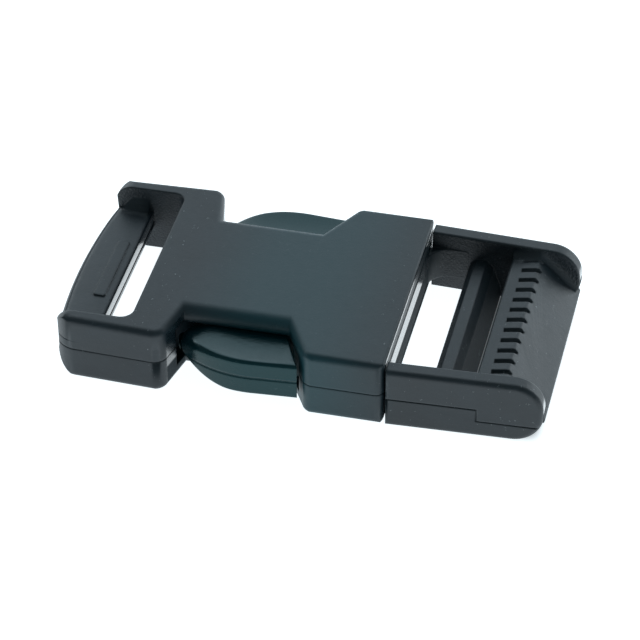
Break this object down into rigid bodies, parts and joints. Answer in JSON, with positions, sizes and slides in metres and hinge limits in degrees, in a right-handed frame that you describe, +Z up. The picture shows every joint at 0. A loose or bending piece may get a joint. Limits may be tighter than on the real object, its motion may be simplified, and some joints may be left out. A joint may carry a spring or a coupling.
{
  "type": "side release buckle",
  "caption": "Fastened side release buckle for 25 mm webbing: hollow socket with side windows and web bar, plug with finger pads, centre bar and ribbed flap.",
  "frame": {"origin": "centre of the overall box, on the underside the buckle lies on", "axes": "+X along the strap towards the plug's free end, +Y across the strap, +Z up through the top face"},
  "size_m": [0.0672, 0.0344, 0.0098],
  "materials": {
    "socket_plastic": "fine matt mould texture",
    "plug_plastic": "fine matt mould texture, finger pads smoother"
  },
  "bodies": {
    "root": {"socket": "socket_plastic", "plug": "plug_plastic"}
  },
  "joints": []
}
